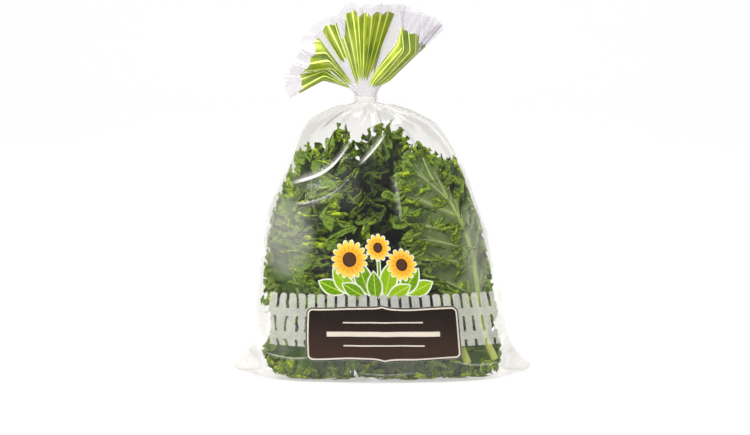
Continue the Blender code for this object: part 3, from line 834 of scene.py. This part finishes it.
    painted_fold_highlights = fold([(-25.8, 235.8), (-32.3, 221.2), (-42.5, 209.2), (-57.4, 197.1), (-73.4, 190.2), (-90.0, 185.0)],
                 1.9, 0.80, 1.0, 6.0)
    for one in (([(3.0, 236.0), (-5.2, 222.6), (-13.6, 213.0), (-23.0, 203.0)], 1.5, 0.66, -1.0, 5.0),
                ([(-26, 198), (-40, 184), (-62, 172), (-92, 168)], 1.3, 0.36, -1.0, 7.0),
                ([(-7.6, 261), (-8.4, 245), (-11.0, 226)], 1.4, 0.45, 1.0, 4.0),
                ([(-13.6, 261), (-17, 246), (-26, 236)], 1.1, 0.36, 1.0, 4.0),
                ([(0.2, 261), (12.2, 254.5), (26, 250.5)], 0.9, 0.70, -1.0, 2.4),
                ([(5, 260.7), (16.6, 258), (30, 252.5)], 0.8, 0.60, -1.0, 2.0),
                ([(57, 236.6), (69, 216), (82, 190)], 0.9, 0.50, 1.0, 3.0),
                ([(85.9, 168.3), (96, 128.2), (105, 93)], 1.3, 0.30, -1.0, 6.0),
                ([(-97, 168), (-107.9, 136.5), (-112.2, 106)], 1.6, 0.30, 1.0, 7.0),
                ([(9, 200), (14, 178), (17, 150)], 2.2, 0.17, -1.0, 8.0),
                ([(-118, 30), (-88, 24), (-62, 27)], 0.9, 0.40, -1.0, 3.0),
                ([(64, 22), (88, 17), (116, 19)], 0.9, 0.34, 1.0, 3.0),
                ([(-30, 12), (2, 9), (40, 13)], 0.9, 0.30, 1.0, 3.0),
                ([(24, 236), (2, 214), (-34, 196), (-72, 186)], 1.7, 0.70, -1.0, 6.0, 1.0),
                ([(30, 222), (48, 196), (66, 160)], 1.5, 0.55, 1.0, 6.0, 1.0),
                ([(-6, 261), (-2, 244), (6, 226)], 1.3, 0.50, 1.0, 4.0, 1.0),
                ([(-26, 258), (-44, 248), (-62, 232)], 0.9, 0.60, -1.0, 3.0, 1.0),
                ([(-84, 168), (-98, 126), (-106, 90)], 1.4, 0.34, 1.0, 6.0, 1.0),
                ([(70, 24), (30, 19), (-40, 22)], 0.9, 0.34, 1.0, 3.0, 1.0)):
        painted_fold_highlights = t.most(painted_fold_highlights, fold(*one))

    def fogged(x, z, rx, rz, strength):
        dx, dz = t.div(t.sub(px, float(x)), float(rx)), t.div(t.sub(pz, float(z)), float(rz))
        return t.mul(t.ramp(t.add(t.mul(dx, dx), t.mul(dz, dz)), 1.0, 0.15), strength)

    fog = fogged(-90, 138, 30, 44, 0.20)
    for one in ((-58, 186, 30, 18, 0.05), (-32, 182, 14, 24, 0.03), (90, 130, 20, 54, 0.13), (0, 12, 130, 16, 0.05),
                (-98, 52, 26, 34, 0.07), (-134, 10, 20, 22, 0.34), (134, 10, 20, 22, 0.30)):
        fog = t.most(fog, fogged(*one))

    crinkle = t.noise(place, 26.0, 2.0, 0.5, 1.0)
    small = t.noise(place, 90.0, 2.0, 0.5, 0.6)
    ruffled = t.mul(t.noise(place, 150.0, 2.0, 0.5, 0.8), t.ramp(past, -12.0, 8.0))
    normal = t.bump(t.add(t.add(t.mul(crinkle, 0.55), t.mul(small, 0.14)), t.mul(ruffled, 0.9)), 0.0020, 0.40)
    clear = t.node("ShaderNodeBsdfTransparent")
    t.put(clear.inputs["Color"], t.mix(t.ramp(past, -4.0, 12.0), (0.972, 0.961, 0.948), (0.905, 0.888, 0.905)))
    gloss = t.node("ShaderNodeBsdfGlossy")
    gloss.inputs["Color"].default_value = (1.0, 1.0, 1.0, 1.0)
    gloss.inputs["Roughness"].default_value = 0.14
    t.put(gloss.inputs["Normal"], normal)
    veil = t.node("ShaderNodeBsdfDiffuse")
    t.put(veil.inputs["Color"], t.mix(t.ramp(past, -20.0, 20.0), (0.62, 0.60, 0.570), (0.60, 0.585, 0.61)))
    t.put(veil.inputs["Normal"], normal)
    fresnel = t.node("ShaderNodeFresnel")
    fresnel.inputs["IOR"].default_value = 1.40
    t.put(fresnel.inputs["Normal"], normal)
    cloud = t.ramp(t.noise(place, 11.0, 3.0, 0.5, 0.5), 0.45, 0.85, 0.004, 0.022)
    patchy = t.mul(fog, t.ramp(t.noise(place, 38.0, 4.0, 0.6, 0.6), 0.20, 0.75, 0.55, 1.20))
    haze = t.add(t.add(cloud, patchy), t.ramp(past, -60.0, 15.0, 0.0, 0.12))
    # the painted highlights whiten the clear film's haze
    haze = t.least(t.most(haze, painted_fold_highlights), 0.92)
    body = t.join(haze, clear.outputs[0], veil.outputs[0])
    shine = t.least(t.mul(fresnel.outputs[0], 0.9), 0.24)
    body = t.join(shine, body, gloss.outputs[0])
    # the painted highlights also lighten the print
    colour = t.mix(t.mul(painted_fold_highlights, 0.30), colour, (0.80, 0.80, 0.78))
    printed = t.principled(Base_Color=colour, Roughness=0.26, Normal=normal, Specular_IOR_Level=0.13)
    return t.finish(t.join(ink, body, printed))


def band_material():
    t = Tree("clear_band")
    place = t.place()
    normal = t.bump(t.noise(place, 260.0, 3.0), 0.0005, 0.6)
    tint = t.mix(t.noise(place, 90.0, 3.0), (0.62, 0.60, 0.57), (0.76, 0.75, 0.72))
    return t.finish(t.principled(Base_Color=tint, Roughness=0.28, Alpha=0.22, Normal=normal, Specular_IOR_Level=0.3))


# The flared mouth, in film past the band: film distance round, three directions seen from the
# front (from the right, anticlockwise), the film lengths at which the film bends from one to
# the next, degrees towards the front, and the whole film length.
FLARE = np.array([
    (-150, 170, 164, 206, 12, 34, 4, 72), (-142, 168, 162, 208, 12, 34, 14, 70), (-134, 165, 158, 208, 12, 36, 22, 70),
    (-126, 160, 152, 202, 12, 38, 12, 71), (-119, 153, 145, 194, 13, 38, 18, 73), (-114, 142, 133, 182, 14, 34, 24, 75),
    (-107, 138, 129, 182, 14, 45, 20, 76), (-100, 136, 128, 181, 14, 53, 24, 78), (-94, 134, 127, 182, 14, 61, 18, 80),
    (-88, 132, 127, 186, 14, 69, 10, 80), (-82, 128, 123, 123, 20, 60, -4, 78), (-76, 124, 119, 116, 20, 60, 6, 79),
    (-70, 121, 115, 112, 20, 60, 18, 80), (-64, 118, 111, 106, 20, 60, 8, 79), (-58, 114, 107, 104, 20, 60, 16, 78),
    (-50, 110, 101, 98, 20, 60, 6, 84), (-42, 104, 97, 96, 20, 60, 16, 90), (-33, 98, 92, 91, 20, 60, 26, 90),
    (-24, 93, 87, 86, 20, 60, 28, 90), (-15, 88, 81, 80, 20, 60, 26, 90), (-6, 82, 75, 73, 20, 60, 18, 90),
    (0, 78, 70, 68, 20, 60, 6, 90), (7, 72, 62, 62, 20, 60, -2, 93), (14, 66, 50, 86, 22, 58, 14, 95),
    (23, 55, 47, 90, 22, 59, 24, 97), (32, 42, 46, 92, 22, 60, 28, 98), (41, 30, 45, 92, 22, 61, 24, 98),
    (50, 19, 44, 88, 22, 62, 16, 98), (58, 20, 43, 80, 22, 62, 4, 98), (70, 28, 44, 70, 22, 62, -2, 97),
    (84, 34, 43, 60, 22, 60, -8, 97), (100, 38, 41, 50, 22, 60, -10, 95), (120, 42, 41, 46, 22, 60, -13, 93),
    (140, 48, 44, 46, 22, 60, -12, 92), (160, 54, 49, 50, 22, 60, -17, 92), (180, 60, 55, 56, 22, 60, -13, 93),
    (200, 68, 62, 62, 22, 60, -19, 93), (220, 75, 69, 69, 22, 60, -14, 92), (240, 82, 76, 76, 22, 60, -21, 90),
    (260, 90, 84, 84, 22, 60, -14, 90), (280, 98, 92, 92, 22, 60, -28, 89), (300, 106, 99, 99, 22, 60, -14, 87),
    (316, 112, 105, 105, 22, 60, -26, 80), (332, 120, 113, 113, 22, 60, -12, 79), (348, 128, 121, 121, 22, 60, -24, 76),
    (364, 136, 129, 130, 22, 50, -10, 71), (380, 144, 138, 139, 22, 50, -22, 72), (396, 150, 146, 148, 20, 46, -10, 73),
    (412, 158, 156, 160, 18, 44, -18, 72), (428, 164, 162, 172, 16, 42, -8, 72), (440, 168, 165, 186, 14, 38, -10, 72),
    (450, 170, 164, 206, 12, 34, 4, 72)], float)
# where the mouth's film is printed: from and to round it, from which film length, how far
# short of the free edge
PRINTED = [(-152, -118.5, 15, 11), (-117, -84, 20, 14), (-77, -60, 44, 7), (-58, -50, 17, 22), (-48, 3, 23, 8),
           (12, 54, 17, 19), (96, 148, 44, 26), (236, 300, 30, 10), (386, 428, 40, 20)]


def film(material):
    rng = np.random.default_rng(77)
    columns = 304
    # theta runs from the back seam (90 degrees) round by the right side, front and left
    share = np.linspace(0, 1, columns + 1)
    theta = np.pi / 2 - 2 * np.pi * share
    theta = theta - 0.11 * np.sin(2 * theta)
    c, s = np.cos(theta), np.sin(theta)
    px = np.sign(c) * np.abs(c) ** (2 / POWER)
    py = np.sign(s) * np.abs(s) ** (2 / POWER)
    side_gap = np.minimum(np.abs(theta - 0), np.abs(theta + np.pi))
    ear_shape = np.clip(1 - side_gap / 0.30, 0, 1) ** 1.6

    rows, films = [], []
    # the base, from its middle out
    for k in np.linspace(0.02, 0.985, 9):
        a, b = 110.0 * k, 43.0 * k
        rows.append(np.stack([a * px, b * py, 0.35 + 0.25 * np.sin(9 * theta + 8 * k) * k + np.zeros_like(px)], -1))
        films.append(-48.0 * (1 - k))
    first = len(rows)
    heights = np.concatenate([[0.0, 1.0, 2.2, 3.8, 6, 9, 12.5], np.linspace(17, 190, 50), np.linspace(193.5, 262, 27)])
    for z in heights:
        middle, a, b, ear = [float(q[0]) for q in bag_at(np.array([z]))]
        rows.append(np.stack([middle + a * px + np.sign(c) * ear * ear_shape, b * py, np.full_like(px, z)], -1))
        films.append(z)
    body = np.array(rows)
    # film distance upwards: the height, then the true length over the shoulders
    up = np.array(films)
    front = (np.abs(theta + np.pi / 2)).argmin()
    run = np.linalg.norm(np.diff(body[:, [front // 2, front, front + front // 2]], axis=0), axis=2).mean(1)
    for i in range(first + 1, len(up)):
        up[i] = up[i - 1] + (run[i - 1] if up[i - 1] > 150 else films[i] - films[i - 1])
    up = np.where(up > 150, 150 + (up - 150) * (V_TOP - 150) / (up[-1] - 150), up)

    along, rise = np.gradient(body, axis=1), np.gradient(body, axis=0)
    n = unit(np.cross(rise, along))
    centre = body.mean(axis=1, keepdims=True)
    n = np.where((n * (body - centre)).sum(-1, keepdims=True) < 0, -n, n)
    z = body[..., 2]
    tt = theta[None] * np.ones_like(z)
    d = np.zeros_like(z)
    near = np.clip((z - 165) / 97, 0, 1)
    # gathers that run down from the neck and die out over the shoulders
    for _ in range(40):
        centre_t = rng.uniform(-1.5 * np.pi, 0.5 * np.pi)
        wide = rng.uniform(0.035, 0.10)
        length = rng.uniform(0.25, 1.0)
        lean = rng.uniform(-0.25, 0.25)
        at = centre_t + lean * (1 - near)
        gap = np.abs((tt - at + np.pi) % (2 * np.pi) - np.pi) / (wide * (1.0 + 1.2 * (1 - near)))
        fade = step(1 - length, 1.0, near) * (1 - 0.55 * step(0.93, 1.0, near))
        d += rng.uniform(0.5, 1.7) * rng.choice([-0.8, 1.0]) * np.exp(-gap ** 1.3) * fade
    # slack film on the body
    d += 0.9 * bumps(body[..., 0] + 0.4 * body[..., 1], z, 62, rng) * step(4, 30, z) * (1 - near)
    d += 0.35 * bumps(body[..., 0] * 1.2 - 0.5 * body[..., 1], z * 0.6, 26, rng) * step(4, 30, z)

    def crease(points, height, width, sharp=1.2, face=-1):
        """A standing fold along a line of (x, z) points on the front or back."""
        nonlocal d
        line = through(points, np.linspace(0, 1, 60))
        dist = np.full(z.shape, 1e9)
        where = np.zeros(z.shape)
        for k in range(59):
            a0, a1 = line[k], line[k + 1]
            ab = a1 - a0
            qx, qz = body[..., 0] - a0[0], z - a0[1]
            f = np.clip((qx * ab[0] + qz * ab[1]) / max(ab @ ab, 1e-9), 0, 1)
            dd = np.hypot(qx - f * ab[0], qz - f * ab[1])
            closer = dd < dist
            dist = np.where(closer, dd, dist)
            where = np.where(closer, (k + f) / 59, where)
        ends = np.sin(np.pi * np.clip(where, 0.02, 0.98)) ** 0.5
        d += (body[..., 1] * face > 0) * height * ends * np.exp(-(dist / width) ** sharp)

    crease([(-12, 228), (-22, 210), (-40, 188), (-62, 171), (-88, 160)], 4.6, 3.4)
    crease([(-16, 222), (-26, 204), (-44, 182), (-66, 166), (-90, 154)], -2.2, 4.5)
    crease([(2, 230), (-6, 216), (-16, 204), (-27, 198)], 4.2, 2.8)
    crease([(-14, 258), (-12, 240), (-11, 222), (-12, 206)], 3.0, 2.4)
    crease([(-2, 260), (14, 252), (30, 246), (46, 236)], 3.0, 2.2)
    crease([(0, 262), (18, 257), (34, 251), (50, 241)], 2.4, 2.0)
    crease([(-100, 150), (-108, 110), (-112, 76), (-116, 44)], 1.2, 5.0)
    crease([(92, 150), (102, 110), (108, 70), (112, 40)], 1.2, 5.0)
    crease([(-118, 20), (-90, 18), (-60, 22), (-30, 16)], 1.6, 3.5)
    crease([(60, 20), (84, 14), (104, 18), (122, 12)], 1.6, 3.5)
    crease([(20, 226), (-4, 205), (-30, 190), (-60, 180)], 3.6, 3.4, face=1)
    crease([(10, 240), (30, 215), (48, 185), (66, 150)], 3.2, 3.2, face=1)
    crease([(-30, 238), (-52, 200), (-70, 150), (-78, 110)], 2.8, 3.4, face=1)
    d[:first] = 0
    d *= z > 0.5
    d *= 1 - step(256, 261.5, z)
    d = np.clip(d, -1.9, 4.2)
    body = body + n * d[..., None]
    pleat = 1 + 0.10 * np.sin(19 * theta + 2) + 0.05 * np.sin(31 * theta)
    grip = step(252, 261.5, z[:, :1])
    squeeze = 1 + (pleat[None] - 1) * grip * 0.8 - 0.07 * grip
    body[..., 0] = NECK_X + (body[..., 0] - NECK_X) * squeeze
    body[..., 1] = body[..., 1] * squeeze

    # film distance round, from the front's middle, the same 600 mm at every height
    ref = np.linalg.norm(np.diff(body, axis=1), axis=2)[first + 14: first + 30].mean(0)
    far = np.concatenate([[0], np.cumsum(ref)])
    around = -(far - far[front]) * 600.0 / (far[-1] - far[0])
    around = np.clip(around, -300, 300)

    neck = []
    for height, tight in ((263.5, 0.93), (265.5, 0.90), (267.5, 0.92)):
        neck.append(np.stack([NECK_X + NECK_A * tight * px * (1 + (pleat - 1) * 0.8),
                              NECK_B * tight * py * (1 + (pleat - 1) * 0.8), np.full_like(px, height)], -1))
    neck = np.array(neck)

    # the flared mouth: folded sheets that fan out from the gathers
    at = np.where(around < -150, around + 600, around)
    kernel = np.hanning(5)[1:-1] / np.hanning(5).sum()
    flare = [np.interp(at, FLARE[:, 0], FLARE[:, k]) for k in range(1, 8)]
    turn0, turn1, turn2, bend1, bend2, lean, reach = [
        np.convolve(np.concatenate([q[-2:-1], q, q[1:2]]), kernel, "valid") for q in flare]
    ring = 2 * np.pi * at / 600.0
    w1 = np.sin(22 * ring + 1.0) * (0.6 + 0.4 * np.sin(5 * ring))
    w2 = np.sin(46 * ring + 2.0 * np.sin(7 * ring))
    w3 = np.sin(71 * ring + 1.5 * np.sin(11 * ring))
    count = 36
    share = np.concatenate([np.linspace(0, 0.30, 11), np.linspace(0.33, 1.0, count - 11)])
    position = neck[-1] + np.array([0.0, 0.0, 1.4])
    mouth = [position.copy()]
    for k in range(1, count):
        f = (share[k] + share[k - 1]) / 2
        length = reach * (share[k] - share[k - 1])
        distance = reach * f
        open_ = np.clip(distance / 13.0, 0, 1) ** 0.7
        turn = turn0 + (turn1 - turn0) * step(bend1 - 7, bend1 + 7, distance)
        turn = turn + (turn2 - turn1) * step(bend2 - 3.5, bend2 + 3.5, distance)
        folded = np.abs(turn2 - turn1) / 45 * step(bend2 - 5, bend2 + 5, distance)
        phi = np.radians(turn + 3.0 * w1 * step(0.1, 0.6, f) + 1.2 * w3 * f * (1 - step(0.7, 1.0, f)))
        delta = np.radians(lean * (0.75 + 0.25 * f) + (8.0 * w1 + 4.5 * w2) * (0.35 + 0.65 * f - 0.6 * step(0.75, 1.0, f)) + 2.0 * w3 * f * (1 - step(0.6, 0.9, f))
                           + 9.0 * np.sin(distance / 5.2 + 9 * ring) * w1 * f - 14 * np.minimum(folded, 1)
                           - 3.0 * np.sign(lean) * step(0.75, 1.0, f))
        goal = np.stack([np.cos(phi) * np.cos(delta), -np.sin(delta), np.sin(phi) * np.cos(delta)], -1)
        start = np.stack([0.30 * c, 0.30 * s, np.ones_like(c)], -1)
        ahead = unit(start * (1 - open_)[:, None] + goal * open_[:, None])
        position = position + ahead * length[:, None]
        mouth.append(position.copy())
    mouth = np.array(mouth)
    points = np.concatenate([body, neck, mouth])
    points[..., 2] = np.clip(points[..., 2], 0.15, 360.5)
    points[..., 0] = np.clip(points[..., 0], -141.9, 141.9)
    points[..., 1] = np.clip(points[..., 1], -62.5, 62.5)

    u = np.tile(around, (len(points), 1))
    v = np.concatenate([np.tile(up[:, None], (1, columns + 1)),
                        np.tile(V_TOP + np.array([1.5, 3.5, 5.5])[:, None], (1, columns + 1)),
                        V_TOP + 7 + share[:, None] * reach[None]])
    left = np.full_like(u, 300.0)
    left[-count:] = (1 - share)[:, None] * reach[None]
    # where the mouth's print begins, how far from the free edge it stops, distance inside it
    inside = np.full(columns + 1, -99.0)
    begins, border = np.full(columns + 1, 30.0), np.full(columns + 1, 10.0)
    for lo, hi, from_here, short in PRINTED:
        reach_in = np.minimum(at - lo, hi - at)
        better = reach_in > inside
        inside = np.where(better, reach_in, inside)
        begins, border = np.where(better, from_here, begins), np.where(better, short, border)
    printed = np.tile(np.stack([begins, border, inside], -1)[None], (len(points), 1, 1))
    parts = Parts()
    quads = grid_quads(len(points), columns + 1)
    parts.add(points, quads[:, ::-1], film=np.stack([u, v, left], -1).reshape(-1, 3), mouth=printed.reshape(-1, 3))
    base = np.concatenate([points[0], points[0].mean(0)[None]])
    fan = [(j, j + 1, columns + 1, columns + 1) for j in range(columns)]
    parts.add(base, fan, film=np.tile([0.0, -48.0, 300.0], (len(base), 1)),
              mouth=np.tile([30.0, 10.0, -99.0], (len(base), 1)))
    obj = parts.make("printed_bag", material)
    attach(obj, "root")
    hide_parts("bag_film")
    return obj


def neck_band(material):
    """The clear band: two turns of thin film, slightly crumpled, as one closed ring."""
    turns, steps, high = 2 * math.pi, 96, 9
    angle = np.linspace(0, turns, steps, endpoint=False)
    low = (NECK_LOW + NECK_HIGH - BAND_HEIGHT) / 2
    profile = []
    for k in range(high):
        f = k / (high - 1)
        profile.append((1.15 + 0.16 * math.sin(f * math.pi), low + 0.1 + f * (BAND_HEIGHT - 0.2)))
    for k in range(high):
        f = 1 - k / (high - 1)
        profile.append((0.45, low + 0.1 + f * (BAND_HEIGHT - 0.2)))
    rings = []
    for grow, z in profile:
        wave = 0.10 * np.sin(9 * angle + z) + 0.07 * np.sin(23 * angle)
        g = grow + (wave if grow > 1 else 0)
        ca, sa = np.cos(angle), np.sin(angle)
        x = NECK_X + (NECK_A + g) * np.sign(ca) * np.abs(ca) ** (2 / POWER)
        y = (NECK_B + g) * np.sign(sa) * np.abs(sa) ** (2 / POWER)
        rings.append(np.stack([x, y, np.full_like(x, z) + 0.05 * np.sin(5 * angle)], -1))
    rings.append(rings[0])
    rings = np.array(rings)
    count = len(profile)
    quads = grid_quads(count + 1, steps, wrap=True)
    quads = np.where(quads >= count * steps, quads - count * steps, quads)
    parts = Parts()
    parts.add(rings[:count], quads)
    obj = parts.make("clear_neck_band", material)
    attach(obj, "root")
    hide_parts("neck_band")
    return obj


# ======================================================================================
# Studio
# ======================================================================================
def area(name, place, target, size, power, colour=(1, 1, 1), size_y=None):
    data = bpy.data.lights.new(name, "AREA")
    data.energy = power
    data.color = colour
    data.shape = "RECTANGLE"
    data.size = size
    data.size_y = size_y or size
    obj = bpy.data.objects.new(name, data)
    obj.location = place
    obj.rotation_mode = "QUATERNION"
    obj.rotation_quaternion = (Vector(target) - Vector(place)).to_track_quat("-Z", "Y")
    bpy.context.scene.collection.objects.link(obj)
    return obj


def studio():
    scene = bpy.context.scene
    cam = bpy.data.objects.new("camera", bpy.data.cameras.new("camera"))
    scene.collection.objects.link(cam)
    scene.camera = cam
    cam.data.lens = 100.0
    cam.data.sensor_width = 36.0
    elevation = math.radians(5.0)
    target = Vector((-0.0071, 0.0, 0.1520))
    back = Vector((0.0, -math.cos(elevation), math.sin(elevation)))
    cam.location = target + back * 1.985
    cam.rotation_mode = "QUATERNION"
    cam.rotation_quaternion = (-back).to_track_quat("-Z", "Y")
    cam.data.clip_start, cam.data.clip_end = 0.05, 50.0

    # a pale round cove: a flat floor that curves up into a wall on every side
    mesh = bpy.data.meshes.new("studio_floor")
    radius = [0.4, 1.2, 2.4, 3.0, 3.5, 3.8, 4.1, 4.3, 4.4, 4.4]
    height = [0.0, 0.0, 0.0, 0.0, 0.05, 0.13, 0.34, 0.7, 1.1, 4.6]
    ring = 72
    verts = [(0.0, 0.0, 0.0)] + [(r * math.cos(2 * math.pi * k / ring), r * math.sin(2 * math.pi * k / ring), h)
                                 for r, h in zip(radius, height) for k in range(ring)]
    faces = [(0, 1 + k, 1 + (k + 1) % ring) for k in range(ring)]
    faces += [(1 + i * ring + k, 1 + (i + 1) * ring + k, 1 + (i + 1) * ring + (k + 1) % ring, 1 + i * ring + (k + 1) % ring)
              for i in range(len(radius) - 1) for k in range(ring)]
    mesh.from_pydata(verts, [], faces)
    mesh.shade_smooth()
    floor = bpy.data.objects.new("studio_floor", mesh)
    scene.collection.objects.link(floor)
    t = Tree("studio_floor")
    split = t.node("ShaderNodeSeparateXYZ")
    t.nt.links.new(t.place(), split.inputs[0])
    glow = t.ramp(split.outputs[1], -3.6, 0.2, 0.36, 0.67)
    white = t.principled(Base_Color=(0.28, 0.28, 0.28), Roughness=0.8, Specular_IOR_Level=0.1,
                         Emission_Color=(1.0, 1.0, 1.0, 1.0), Emission_Strength=glow)
    floor.data.materials.append(t.finish(white))

    world = bpy.data.worlds.new("studio")
    scene.world = world
    world.use_nodes = True
    world.node_tree.nodes["Background"].inputs["Color"].default_value = (1.0, 1.0, 1.0, 1.0)
    world.node_tree.nodes["Background"].inputs["Strength"].default_value = 0.16
    key = area("key", (-0.75, -1.20, 1.40), (0, 0, 0.18), 0.50, 46.0, (1.0, 0.985, 0.96))
    key.visible_glossy = False
    area("streak", (-0.95, -1.10, 1.20), (0, 0, 0.18), 0.06, 2.5, size_y=0.9)
    fill = area("fill", (1.70, -0.70, 0.80), (0, 0, 0.16), 0.80, 10.0, (0.97, 0.98, 1.0))
    fill.visible_glossy = False
    area("top", (0.10, -0.10, 1.50), (0, 0, 0.1), 0.7, 20.0)
    area("back_wash", (0.0, 2.2, 2.6), (0, 3.9, 0.6), 2.6, 44.0)
    rear = area("rear", (0.9, 1.5, 1.3), (0, 0, 0.18), 0.6, 14.0)
    rear.visible_glossy = False
    scene.view_settings.view_transform = "Standard"
    scene.view_settings.look = "None"
    scene.view_settings.exposure = 0.0
    scene.cycles.transparent_max_bounces = 32
    scene.cycles.max_bounces = 14


green = kale_material()
for number, spec in enumerate(LEAVES):
    leaf(spec, number, green)
film(film_material())
neck_band(band_material())
studio()
